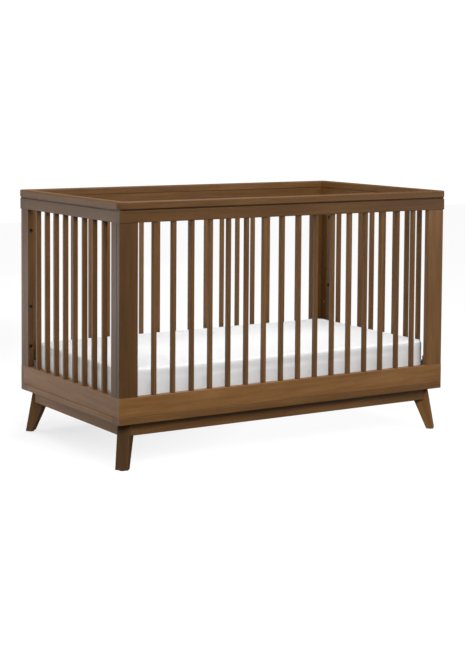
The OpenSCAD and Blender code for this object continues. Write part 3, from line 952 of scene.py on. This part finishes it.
@dataclass
class FittedSheet:
    """The fitted sheet: stretched cloth, pulls at its corners and an elastic hem turned under."""

    pad: Pad
    thickness: float = 0.0009
    clearance: float = 0.0006
    hem_reach: float = 0.055
    hem_ripple: float = 0.0003
    hem_ripple_length: float = 0.0045
    pull_depth: float = 0.0003
    pull_length: float = 0.0135
    pull_lean: float = 0.35
    pull_reach: Range = (0.03, 0.19)
    wave_depth: float = 0.0006
    waves_per_metre: float = 4.5
    deepest_dip: float = 0.0004
    piece: bpy.types.Object = field(init=False)

    def build(self) -> bpy.types.Object:
        """Makes the sheet from the pad's surface.

        Returns:
            The sheet's object.
        """
        low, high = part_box("mattress")
        self.piece = new_object("fitted_sheet_cloth", self.pad.piece.data.copy())
        self.piece.data.materials.clear()
        self.open_underside(low, high)
        self.shape_cloth(low, high)
        smooth = self.piece.modifiers.new("soften", "SUBSURF")
        smooth.levels = smooth.render_levels = 1
        shell = self.piece.modifiers.new("cloth", "SOLIDIFY")
        shell.thickness = self.thickness
        shell.offset = 1.0
        applied(self.piece)
        for face in self.piece.data.polygons:
            face.use_smooth = True
        self.piece.data.materials.append(PERCALE.coat("cotton_percale"))
        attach(self.piece, Body.BEDDING.value)
        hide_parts("fitted_sheet")
        LOG.info("built fitted_sheet_cloth, %d vertices", len(self.piece.data.vertices))
        return self.piece

    def open_underside(self, low: Vector, high: Vector) -> None:
        """Cuts the underside away inside the turned-under hem.

        Args:
            low: lowest corner of the pad; not used.
            high: highest corner of the pad.
        """
        shape = bmesh.new()
        shape.from_mesh(self.piece.data)
        inner_x = high.x - self.hem_reach
        inner_y = high.y - self.hem_reach
        gone = [
            face for face in shape.faces
            if face.normal.z < -0.8 and abs(face.calc_center_median().x) < inner_x
            and abs(face.calc_center_median().y) < inner_y
        ]
        bmesh.ops.delete(shape, geom=gone, context="FACES")
        shape.to_mesh(self.piece.data)
        shape.free()

    def shape_cloth(self, low: Vector, high: Vector) -> None:
        """Stands the cloth off the pad, and gives it its pulls and its gathered hem.

        Args:
            low: lowest corner of the pad.
            high: highest corner of the pad.
        """
        mesh = self.piece.data
        points = points_of(mesh)
        flat = np.empty(3 * len(mesh.vertices))
        mesh.vertices.foreach_get("normal", flat)
        normals = flat.reshape(-1, 3)
        height = (points[:, 2] - low.z) / (high.z - low.z)
        side = ease(1.0 - np.abs(normals[:, 2]), 0.35, 0.8)
        under = ease(-normals[:, 2], 0.3, 0.8)
        from_end, from_side = high.x - np.abs(points[:, 0]), high.y - np.abs(points[:, 1])
        near = 1.0 - ease(np.hypot(from_end, from_side), *self.pull_reach)
        around = np.arctan2(from_side, from_end)
        along = np.where(np.abs(normals[:, 0]) > np.abs(normals[:, 1]), points[:, 1], points[:, 0])
        rise = (points[:, 2] - low.z) * np.sign(points[:, 0] * points[:, 1])
        lean = along + self.pull_lean * rise
        pulls = np.sin(lean / self.pull_length + 1.7 * np.sin(around * 2.0)) * near * side
        pulls *= self.pull_depth * (1.0 - 0.75 * ease(height, 0.25, 0.95))
        soft = np.array([noise.noise(Vector(row * self.waves_per_metre)) for row in points])
        waves = self.wave_depth * soft * (1.0 - under)
        dips = (np.maximum(pulls, -self.deepest_dip), np.maximum(waves, -self.deepest_dip))
        lift = self.clearance + dips[0] + dips[1]
        points = points + normals * lift[:, None]
        ripple = np.sin((points[:, 0] + points[:, 1]) / self.hem_ripple_length) * self.hem_ripple
        points[:, 2] += under * (ripple - self.deepest_dip)
        points[:, 2] = np.maximum(points[:, 2], low.z + self.thickness + 0.0002)
        set_points(mesh, points)


# ---------------------------------------------------------------- studio


@dataclass
class StudioCamera:
    """A long-lens camera at the front left, a little higher than the cap."""

    place: tuple[float, float, float] = (-3.1131, -4.8546, 1.2488)
    azimuth: float = -31.437
    elevation: float = 3.853
    roll: float = 0.31
    lens: float = 86.32
    shift: tuple[float, float] = (0.05, -0.1923)

    def build(self) -> bpy.types.Object:
        """Makes the camera and makes it the scene's own.

        Returns:
            The camera.
        """
        data = bpy.data.cameras.new("studio_camera")
        data.sensor_width = 36.0
        data.lens = self.lens
        data.shift_x, data.shift_y = self.shift
        data.clip_end = 100.0
        camera = new_object("studio_camera", data)
        turn, tilt = math.radians(self.azimuth), math.radians(self.elevation)
        back = Vector((math.sin(turn) * math.cos(tilt), -math.cos(turn) * math.cos(tilt), math.sin(tilt)))
        right = (-back).cross(UP).normalized()
        over = right.cross(-back)
        angle = math.radians(self.roll)
        side = right * math.cos(angle) + over * math.sin(angle)
        top = over * math.cos(angle) - right * math.sin(angle)
        pose = Matrix((side, top, back)).transposed().to_4x4()
        pose.translation = Vector(self.place)
        camera.matrix_world = pose
        bpy.context.scene.camera = camera
        LOG.info("placed studio_camera")
        return camera


@dataclass(frozen=True)
class SoftBox:
    """A large soft light that faces the crib."""

    name: str
    place: tuple[float, float, float]
    size: tuple[float, float]
    glow: float
    colour: Colour = (1.0, 1.0, 1.0)
    aim: tuple[float, float, float] = (0.0, 0.0, 0.45)

    def build(self) -> bpy.types.Object:
        """Makes the light, as bright a surface as its glow says.

        Returns:
            The light.
        """
        data = bpy.data.lights.new(self.name, "AREA")
        data.shape = "RECTANGLE"
        data.size, data.size_y = self.size
        data.energy = self.glow * math.pi * self.size[0] * self.size[1]
        data.color = self.colour
        light = new_object(self.name, data)
        light.location = self.place
        look = Vector(self.aim) - Vector(self.place)
        light.rotation_euler = look.to_track_quat("-Z", "Y").to_euler()
        light.visible_camera = False
        LOG.info("hung %s", self.name)
        return light


@dataclass
class Studio:
    """The pale floor, the white surround and the soft lights."""

    boxes: tuple[SoftBox, ...] = (
        SoftBox("top_box", (0.0, 0.0, 3.3), (4.0, 3.2), 2.8),
        SoftBox("front_box", (0.8, -3.6, 3.2), (4.0, 2.2), 4.6),
        SoftBox("front_left_box", (-2.6, -3.6, 3.0), (3.4, 2.2), 5.6),
        SoftBox("left_box", (-2.4, 1.6, 0.30), (2.6, 0.5), 4.8),
        SoftBox("rear_box", (-1.5, 5.0, 1.3), (9.0, 2.6), 0.45, aim=(-1.5, 0.0, 1.3)),
        SoftBox("right_box", (4.6, -3.2, 0.9), (2.6, 1.6), 3.2),
    )
    ambient: float = 0.03
    surround: float = 1.05
    floor_light: tuple[float, float, float] = (-1.7, 1.9, 0.0)
    floor_reach: Range = (0.8, 2.6)
    floor_tone: Range = (0.10, 0.75)
    floor_glow: float = 1.05
    floor_half: float = 9.0

    def build(self) -> None:
        """Makes the floor, the surround and the lights."""
        self.floor()
        self.surroundings()
        for box in self.boxes:
            box.build()
        view = bpy.context.scene.view_settings
        view.view_transform = "Standard"
        view.look = "None"

    def floor(self) -> None:
        """Lays the pale floor, lit from within for the eye so that it fades into the surround."""
        shape = bmesh.new()
        bmesh.ops.create_grid(shape, x_segments=1, y_segments=1, size=self.floor_half)
        mesh = bpy.data.meshes.new("studio_floor")
        shape.to_mesh(mesh)
        shape.free()
        ground = new_object("studio_floor", mesh)
        shader = Shader("white_paper")
        spot = shader.place()
        tooth = shader.noise(spot, 260.0, 3.0)
        dim, bright = self.floor_tone
        far = shader.length(shader.vector("SUBTRACT", spot, self.floor_light))
        tone = shader.remap(far, *self.floor_reach, bright, dim)
        grey = shader.calc("MULTIPLY", tone, shader.remap(tooth, 0.3, 0.7, 0.98, 1.0))
        shader.feed(shader.skin.inputs["Base Color"], grey)
        shader.skin.inputs["Roughness"].default_value = 0.9
        shader.skin.inputs["Specular IOR Level"].default_value = 0.0
        path = shader.tree.nodes.new("ShaderNodeLightPath")
        lack = shader.calc("SUBTRACT", self.floor_glow, tone)
        shader.skin.inputs["Emission Color"].default_value = (1.0, 1.0, 1.0, 1.0)
        seen = shader.calc("MULTIPLY", path.outputs["Is Camera Ray"], lack)
        shader.feed(shader.skin.inputs["Emission Strength"], seen)
        mesh.materials.append(shader.material)
        LOG.info("laid studio_floor")

    def surroundings(self) -> None:
        """Surrounds the set with white for the eye and a dimmer room for the crib."""
        world = bpy.data.worlds.new("studio_surround")
        world.use_nodes = True
        tree = world.node_tree
        tree.nodes.clear()
        room = tree.nodes.new("ShaderNodeBackground")
        room.inputs["Color"].default_value = (1.0, 1.0, 1.0, 1.0)
        room.inputs["Strength"].default_value = self.ambient
        seen = tree.nodes.new("ShaderNodeBackground")
        seen.inputs["Color"].default_value = (1.0, 1.0, 1.0, 1.0)
        seen.inputs["Strength"].default_value = self.surround
        path = tree.nodes.new("ShaderNodeLightPath")
        mix = tree.nodes.new("ShaderNodeMixShader")
        out = tree.nodes.new("ShaderNodeOutputWorld")
        tree.links.new(path.outputs["Is Camera Ray"], mix.inputs["Fac"])
        tree.links.new(room.outputs[0], mix.inputs[1])
        tree.links.new(seen.outputs[0], mix.inputs[2])
        tree.links.new(mix.outputs[0], out.inputs["Surface"])
        bpy.context.scene.world = world


# ---------------------------------------------------------------- the crib


@dataclass
class Crib:
    """The whole crib, dressed group by group."""

    groups: tuple[Boards | Sticks | Legs | Joinery | Metalwork, ...] = (
        Boards(("front_top_cap", "rear_top_cap", "front_top_rail", "rear_top_rail",
                "front_bottom_rail", "rear_bottom_rail", "front_base_board", "rear_base_board",
                "front_apron", "rear_apron"), ALONG, seed=1),
        Boards(("left_top_cap", "right_top_cap", "left_top_rail", "right_top_rail",
                "left_bottom_rail", "right_bottom_rail", "left_base_board", "right_base_board",
                "left_apron", "right_apron"), ACROSS, seed=2),
        Boards(("front_left_post", "front_right_post", "rear_left_post", "rear_right_post",
                "left_end_front_post", "left_end_rear_post",
                "right_end_front_post", "right_end_rear_post"), UPRIGHT, seed=3),
        Sticks(("front_slats", "rear_slats"), axis=0, count=16),
        Sticks(("left_end_slats", "right_end_slats"), axis=1, count=8, seed=41),
        Legs(),
        Joinery(),
        Metalwork(),
    )

    def build(self) -> None:
        """Dresses the frame, then makes the bedding."""
        for group in self.groups:
            group.dress()
        pad = Pad()
        pad.build()
        FittedSheet(pad).build()


def main() -> None:
    """Builds the set and the crib in order."""
    logging.basicConfig(level=logging.INFO, format="%(name)s: %(message)s")
    StudioCamera().build()
    Studio().build()
    Crib().build()


if __name__ == "__main__":
    main()
